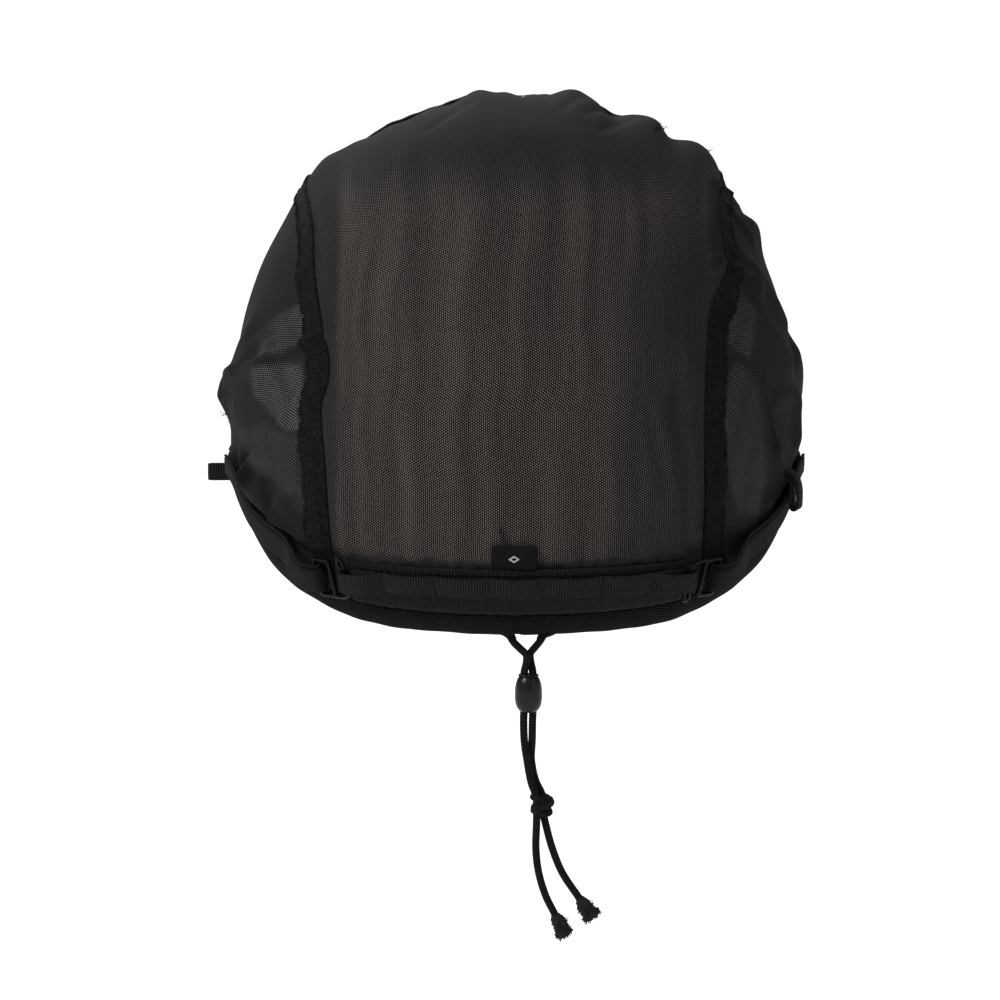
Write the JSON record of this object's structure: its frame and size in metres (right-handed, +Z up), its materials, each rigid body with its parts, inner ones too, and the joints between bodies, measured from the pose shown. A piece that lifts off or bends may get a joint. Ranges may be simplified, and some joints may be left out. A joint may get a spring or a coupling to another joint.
{
  "type": "wig cap",
  "caption": "Dark net wig cap as worn: gathered dome of three panels, hem with drawstring, adjustable hooked nape strap, hanging cords with a lock and a knot.",
  "frame": {"origin": "inner apex of the crown, where a head carries the cap", "axes": "+Z up, +Y towards the nape, -Y towards the face, +X towards the wearer's left"},
  "size_m": [0.1706, 0.1959, 0.2231],
  "materials": {
    "net": "see-through knitted net",
    "seam_tape": "overlocked seam",
    "hem": "fine ribbed band",
    "ribbon": "ribbed ribbon",
    "strap": "woven elastic",
    "hook": "gloss black",
    "label": "woven ribbon",
    "cord": "braided cord",
    "cord_lock": "satin dark grey"
  },
  "bodies": {
    "root": {"centre_panel": "net", "side_panel_left": "net", "side_panel_right": "net", "seam_tape_left": "seam_tape", "seam_tape_right": "seam_tape", "crown_seam": "seam_tape", "hem_casing_left": "hem", "hem_casing_right": "hem", "front_binding": "hem", "nape_ribbon": "ribbon", "loop_strip": "ribbon", "strap_left": "strap", "strap_right": "strap", "hook_left": "hook", "hook_right": "hook", "size_label": "label", "ear_loop_left": "ribbon", "ear_loop_right": "ribbon", "cord_left": "cord", "cord_right": "cord", "cord_lock": "cord_lock", "cord_knot": "cord", "cord_end_left": "cord", "cord_end_right": "cord"}
  },
  "joints": []
}
